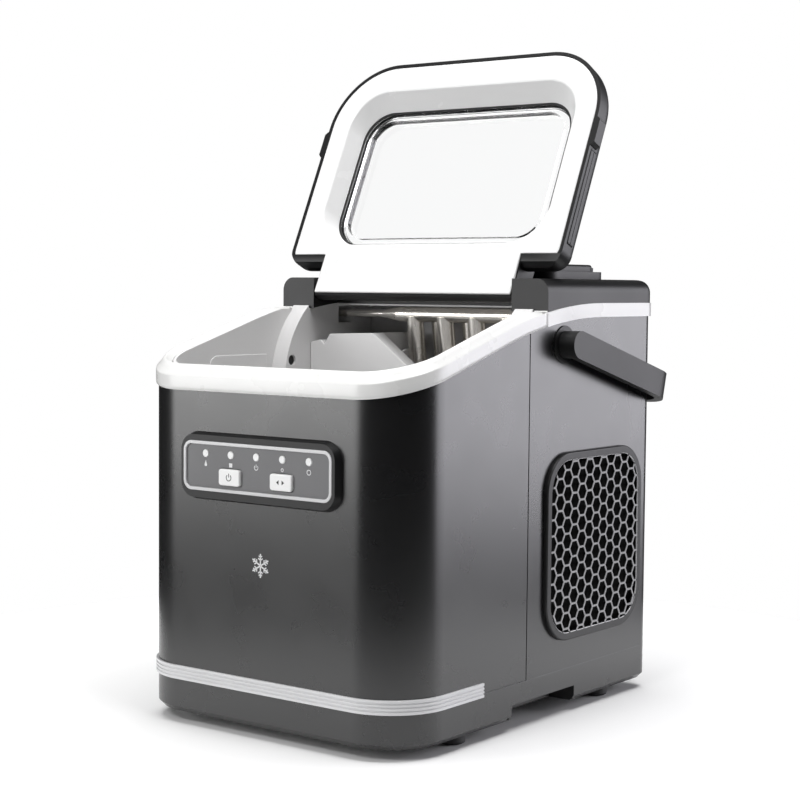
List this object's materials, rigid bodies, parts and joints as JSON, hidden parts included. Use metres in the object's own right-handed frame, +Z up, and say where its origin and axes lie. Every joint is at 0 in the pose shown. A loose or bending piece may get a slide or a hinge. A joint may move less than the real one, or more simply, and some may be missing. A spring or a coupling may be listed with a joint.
{
  "type": "countertop ice maker",
  "caption": "Portable countertop ice maker, sloping lidded bin in front, finned grilles at the sides, button panel on the front and a carry handle at the back.",
  "frame": {"origin": "middle of the footprint's width and of the whole depth, on the surface it stands on", "axes": "+X to the right seen from the front, +Y from the front face to the back, +Z up"},
  "size_m": [0.251, 0.31, 0.4461],
  "materials": {
    "case_black": "satin dark grey moulded case",
    "trim_black": "fine-textured black",
    "rim_white": "smooth white",
    "liner_white": "smooth white",
    "bin_grey": "light grey food-safe plastic",
    "silver_trim": "silver-painted plastic",
    "panel_grey": "satin grey overlay",
    "button_white": "smooth white",
    "clear": "clear plastic window",
    "rubber": "black rubber",
    "plated": "bright nickel plating",
    "steel": "plain steel",
    "painted_steel": "black enamel",
    "copper": "bare copper",
    "alloy": "thin bare sheet",
    "board": "green circuit board",
    "foam": "moulded foam",
    "soft_tube": "milky silicone"
  },
  "bodies": {
    "case": {"front_shell": "case_black", "rear_shell": "case_black", "rear_screws": "steel", "base_tray": "case_black", "rubber_feet": "rubber", "foot_screws": "steel", "trim_strip": "silver_trim", "rim_bezel": "rim_white", "rear_deck": "trim_black", "vent_cap": "trim_black", "cap_screws": "steel", "right_grille": "trim_black", "left_grille": "trim_black", "cord_inlet_bush": "trim_black", "panel_bezel": "trim_black", "panel_frame": "silver_trim", "panel_overlay": "panel_grey", "led_lenses": "button_white", "display_board": "board", "handle_bushes": "trim_black", "inner_tank": "bin_grey", "ir_sensors": "trim_black", "gear_cover": "bin_grey", "tray_motor": "trim_black", "evaporator_tube": "plated", "evaporator_fingers": "plated", "foam_insulation": "foam", "water_pump": "trim_black", "pump_hose": "soft_tube", "drain_tube": "rim_white", "chassis_plate": "steel", "compressor": "painted_steel", "compressor_grommets": "rubber", "condenser": "alloy", "fan_shroud": "trim_black", "fan_motor": "steel", "copper_pipes": "copper", "filter_drier": "copper", "hot_gas_valve": "trim_black", "control_board": "board"},
    "lid": {"lid_shell": "trim_black", "lid_liner": "liner_white", "lid_window": "clear", "window_gasket": "rubber", "hinge_pins": "steel"},
    "handle": {"carry_handle": "trim_black", "handle_pins": "steel"},
    "tray": {"water_tray": "bin_grey", "tray_shaft": "steel"},
    "power_button": {"power_button": "button_white"},
    "select_button": {"select_button": "button_white"},
    "basket": {"ice_basket": "bin_grey"},
    "drain_cap": {"drain_plug": "rubber"},
    "fan": {"fan_rotor": "trim_black"}
  },
  "joints": [
    {"name": "lid_hinge", "type": "hinge", "parent": "case", "child": "lid", "pos_m": [0, 0.01124, 0.2865], "axis": [-1, 0, 0], "range_deg": [-130.2, 0]},
    {"name": "handle_hinge", "type": "hinge", "parent": "case", "child": "handle", "pos_m": [0, 0.02324, 0.247], "axis": [1, 0, 0], "range_deg": [0, 78]},
    {"name": "power_button", "type": "slide", "parent": "case", "child": "power_button", "axis": [0, 1, 0], "range_m": [0, 0.0008], "stiffness_N_per_m": 3000},
    {"name": "select_button", "type": "slide", "parent": "case", "child": "select_button", "axis": [0, 1, 0], "range_m": [0, 0.0008], "stiffness_N_per_m": 3000},
    {"name": "tray_tilt", "type": "hinge", "parent": "case", "child": "tray", "pos_m": [0, 0.04424, 0.232], "axis": [1, 0, 0], "range_deg": [0, 50]},
    {"name": "basket_lift", "type": "slide", "parent": "case", "child": "basket", "axis": [0, 0, 1], "range_m": [0, 0.15]},
    {"name": "drain_pull", "type": "slide", "parent": "case", "child": "drain_cap", "axis": [-1, 0, 0], "range_m": [0, 0.012]},
    {"name": "fan_spin", "type": "hinge", "parent": "case", "child": "fan", "pos_m": [0.0668, 0.06224, 0.104], "axis": [1, 0, 0], "continuous": true}
  ]
}
